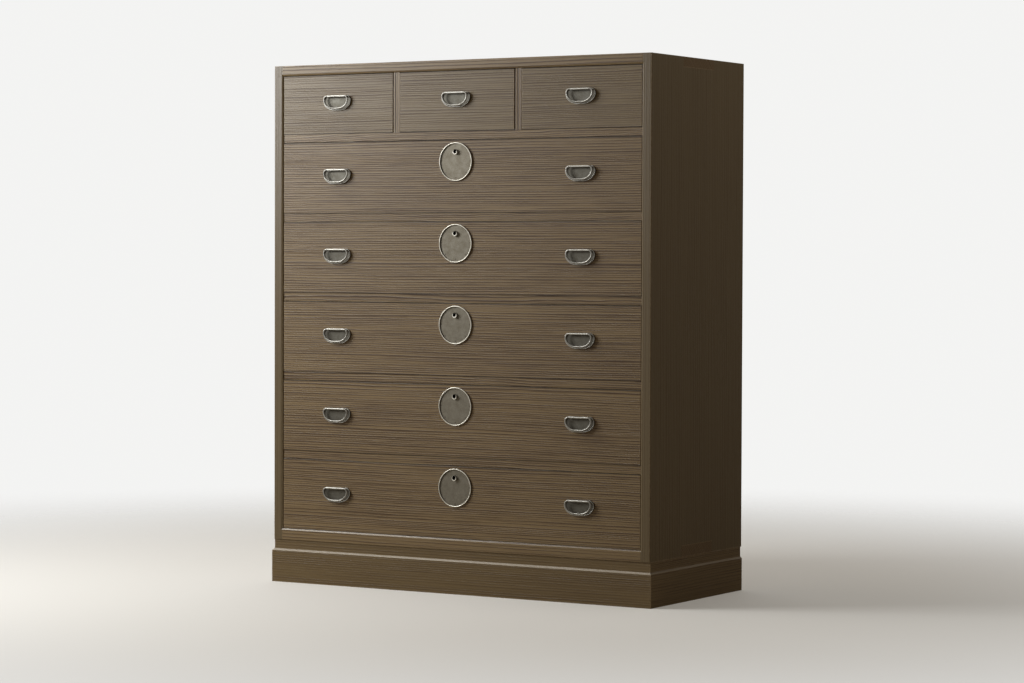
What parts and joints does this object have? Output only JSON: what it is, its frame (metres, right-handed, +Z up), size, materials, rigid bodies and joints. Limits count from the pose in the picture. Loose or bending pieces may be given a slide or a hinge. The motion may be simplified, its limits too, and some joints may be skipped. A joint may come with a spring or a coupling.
{
  "type": "tansu chest of drawers",
  "caption": "Tall wooden clothes chest with a row of small drawers over full-width locking drawers, D-shaped bail pulls and round lock plates, on a stepped plinth.",
  "frame": {"origin": "middle of the footprint on the floor, halfway between the furthest points to the left and right and to the front and back", "axes": "+Z up, +X to the right of someone facing the drawers, +Y from the drawer fronts towards the back"},
  "size_m": [1.068, 0.4688, 1.2715],
  "materials": {
    "outer_wood": "brushed paulownia, unvarnished, matt, grey-brown with fine dark grain",
    "inner_wood": "planed paulownia, unfinished",
    "fitting_metal": "satin silver-grey",
    "lock_iron": "filed iron"
  },
  "bodies": {
    "cabinet": {"left_side_board": "outer_wood", "right_side_board": "outer_wood", "bottom_board": "outer_wood", "top_board": "outer_wood", "back_boards": "inner_wood", "front_rails": "outer_wood", "dust_boards": "inner_wood", "runners_and_stops": "inner_wood", "dividers": "outer_wood", "strike_plates": "lock_iron", "base_band": "outer_wood", "plinth_boards": "outer_wood", "plinth_blocks": "inner_wood"},
    "large_drawer_1": {"large_drawer_1_front": "outer_wood", "large_drawer_1_box": "inner_wood", "large_drawer_1_pull_plates": "fitting_metal", "large_drawer_1_lock": "fitting_metal"},
    "large_drawer_1_bail_left": {"large_drawer_1_bail_left": "fitting_metal"},
    "large_drawer_1_bail_right": {"large_drawer_1_bail_right": "fitting_metal"},
    "large_drawer_1_bolt": {"large_drawer_1_bolt": "lock_iron"},
    "large_drawer_2": {"large_drawer_2_front": "outer_wood", "large_drawer_2_box": "inner_wood", "large_drawer_2_pull_plates": "fitting_metal", "large_drawer_2_lock": "fitting_metal"},
    "large_drawer_2_bail_left": {"large_drawer_2_bail_left": "fitting_metal"},
    "large_drawer_2_bail_right": {"large_drawer_2_bail_right": "fitting_metal"},
    "large_drawer_2_bolt": {"large_drawer_2_bolt": "lock_iron"},
    "large_drawer_3": {"large_drawer_3_front": "outer_wood", "large_drawer_3_box": "inner_wood", "large_drawer_3_pull_plates": "fitting_metal", "large_drawer_3_lock": "fitting_metal"},
    "large_drawer_3_bail_left": {"large_drawer_3_bail_left": "fitting_metal"},
    "large_drawer_3_bail_right": {"large_drawer_3_bail_right": "fitting_metal"},
    "large_drawer_3_bolt": {"large_drawer_3_bolt": "lock_iron"},
    "large_drawer_4": {"large_drawer_4_front": "outer_wood", "large_drawer_4_box": "inner_wood", "large_drawer_4_pull_plates": "fitting_metal", "large_drawer_4_lock": "fitting_metal"},
    "large_drawer_4_bail_left": {"large_drawer_4_bail_left": "fitting_metal"},
    "large_drawer_4_bail_right": {"large_drawer_4_bail_right": "fitting_metal"},
    "large_drawer_4_bolt": {"large_drawer_4_bolt": "lock_iron"},
    "large_drawer_5": {"large_drawer_5_front": "outer_wood", "large_drawer_5_box": "inner_wood", "large_drawer_5_pull_plates": "fitting_metal", "large_drawer_5_lock": "fitting_metal"},
    "large_drawer_5_bail_left": {"large_drawer_5_bail_left": "fitting_metal"},
    "large_drawer_5_bail_right": {"large_drawer_5_bail_right": "fitting_metal"},
    "large_drawer_5_bolt": {"large_drawer_5_bolt": "lock_iron"},
    "small_drawer_1": {"small_drawer_1_front": "outer_wood", "small_drawer_1_box": "inner_wood", "small_drawer_1_pull_plates": "fitting_metal"},
    "small_drawer_1_bail": {"small_drawer_1_bail": "fitting_metal"},
    "small_drawer_2": {"small_drawer_2_front": "outer_wood", "small_drawer_2_box": "inner_wood", "small_drawer_2_pull_plates": "fitting_metal"},
    "small_drawer_2_bail": {"small_drawer_2_bail": "fitting_metal"},
    "small_drawer_3": {"small_drawer_3_front": "outer_wood", "small_drawer_3_box": "inner_wood", "small_drawer_3_pull_plates": "fitting_metal"},
    "small_drawer_3_bail": {"small_drawer_3_bail": "fitting_metal"}
  },
  "joints": [
    {"name": "large_drawer_1_slide", "type": "slide", "parent": "cabinet", "child": "large_drawer_1", "axis": [0, -1, 0], "range_m": [0, 0.36]},
    {"name": "large_drawer_1_bail_left_swing", "type": "hinge", "parent": "large_drawer_1", "child": "large_drawer_1_bail_left", "pos_m": [-0.34213, -0.23235, 0.2384], "axis": [-1, 0, 0], "range_deg": [-4, 190]},
    {"name": "large_drawer_1_bail_right_swing", "type": "hinge", "parent": "large_drawer_1", "child": "large_drawer_1_bail_right", "pos_m": [0.34213, -0.23235, 0.2384], "axis": [-1, 0, 0], "range_deg": [-4, 190]},
    {"name": "large_drawer_1_bolt_lift", "type": "slide", "parent": "large_drawer_1", "child": "large_drawer_1_bolt", "axis": [0, 0, 1], "range_m": [0, 0.009]},
    {"name": "large_drawer_2_slide", "type": "slide", "parent": "cabinet", "child": "large_drawer_2", "axis": [0, -1, 0], "range_m": [0, 0.36]},
    {"name": "large_drawer_2_bail_left_swing", "type": "hinge", "parent": "large_drawer_2", "child": "large_drawer_2_bail_left", "pos_m": [-0.34213, -0.23235, 0.4324], "axis": [-1, 0, 0], "range_deg": [-4, 190]},
    {"name": "large_drawer_2_bail_right_swing", "type": "hinge", "parent": "large_drawer_2", "child": "large_drawer_2_bail_right", "pos_m": [0.34213, -0.23235, 0.4324], "axis": [-1, 0, 0], "range_deg": [-4, 190]},
    {"name": "large_drawer_2_bolt_lift", "type": "slide", "parent": "large_drawer_2", "child": "large_drawer_2_bolt", "axis": [0, 0, 1], "range_m": [0, 0.009]},
    {"name": "large_drawer_3_slide", "type": "slide", "parent": "cabinet", "child": "large_drawer_3", "axis": [0, -1, 0], "range_m": [0, 0.36]},
    {"name": "large_drawer_3_bail_left_swing", "type": "hinge", "parent": "large_drawer_3", "child": "large_drawer_3_bail_left", "pos_m": [-0.34213, -0.23235, 0.6264], "axis": [-1, 0, 0], "range_deg": [-4, 190]},
    {"name": "large_drawer_3_bail_right_swing", "type": "hinge", "parent": "large_drawer_3", "child": "large_drawer_3_bail_right", "pos_m": [0.34213, -0.23235, 0.6264], "axis": [-1, 0, 0], "range_deg": [-4, 190]},
    {"name": "large_drawer_3_bolt_lift", "type": "slide", "parent": "large_drawer_3", "child": "large_drawer_3_bolt", "axis": [0, 0, 1], "range_m": [0, 0.009]},
    {"name": "large_drawer_4_slide", "type": "slide", "parent": "cabinet", "child": "large_drawer_4", "axis": [0, -1, 0], "range_m": [0, 0.36]},
    {"name": "large_drawer_4_bail_left_swing", "type": "hinge", "parent": "large_drawer_4", "child": "large_drawer_4_bail_left", "pos_m": [-0.34213, -0.23235, 0.8204], "axis": [-1, 0, 0], "range_deg": [-4, 190]},
    {"name": "large_drawer_4_bail_right_swing", "type": "hinge", "parent": "large_drawer_4", "child": "large_drawer_4_bail_right", "pos_m": [0.34213, -0.23235, 0.8204], "axis": [-1, 0, 0], "range_deg": [-4, 190]},
    {"name": "large_drawer_4_bolt_lift", "type": "slide", "parent": "large_drawer_4", "child": "large_drawer_4_bolt", "axis": [0, 0, 1], "range_m": [0, 0.009]},
    {"name": "large_drawer_5_slide", "type": "slide", "parent": "cabinet", "child": "large_drawer_5", "axis": [0, -1, 0], "range_m": [0, 0.36]},
    {"name": "large_drawer_5_bail_left_swing", "type": "hinge", "parent": "large_drawer_5", "child": "large_drawer_5_bail_left", "pos_m": [-0.34213, -0.23235, 1.0144], "axis": [-1, 0, 0], "range_deg": [-4, 190]},
    {"name": "large_drawer_5_bail_right_swing", "type": "hinge", "parent": "large_drawer_5", "child": "large_drawer_5_bail_right", "pos_m": [0.34213, -0.23235, 1.0144], "axis": [-1, 0, 0], "range_deg": [-4, 190]},
    {"name": "large_drawer_5_bolt_lift", "type": "slide", "parent": "large_drawer_5", "child": "large_drawer_5_bolt", "axis": [0, 0, 1], "range_m": [0, 0.009]},
    {"name": "small_drawer_1_slide", "type": "slide", "parent": "cabinet", "child": "small_drawer_1", "axis": [0, -1, 0], "range_m": [0, 0.36]},
    {"name": "small_drawer_1_bail_swing", "type": "hinge", "parent": "small_drawer_1", "child": "small_drawer_1_bail", "pos_m": [-0.34213, -0.23235, 1.1934], "axis": [-1, 0, 0], "range_deg": [-4, 190]},
    {"name": "small_drawer_2_slide", "type": "slide", "parent": "cabinet", "child": "small_drawer_2", "axis": [0, -1, 0], "range_m": [0, 0.36]},
    {"name": "small_drawer_2_bail_swing", "type": "hinge", "parent": "small_drawer_2", "child": "small_drawer_2_bail", "pos_m": [0, -0.23235, 1.1934], "axis": [-1, 0, 0], "range_deg": [-4, 190]},
    {"name": "small_drawer_3_slide", "type": "slide", "parent": "cabinet", "child": "small_drawer_3", "axis": [0, -1, 0], "range_m": [0, 0.36]},
    {"name": "small_drawer_3_bail_swing", "type": "hinge", "parent": "small_drawer_3", "child": "small_drawer_3_bail", "pos_m": [0.34213, -0.23235, 1.1934], "axis": [-1, 0, 0], "range_deg": [-4, 190]}
  ]
}
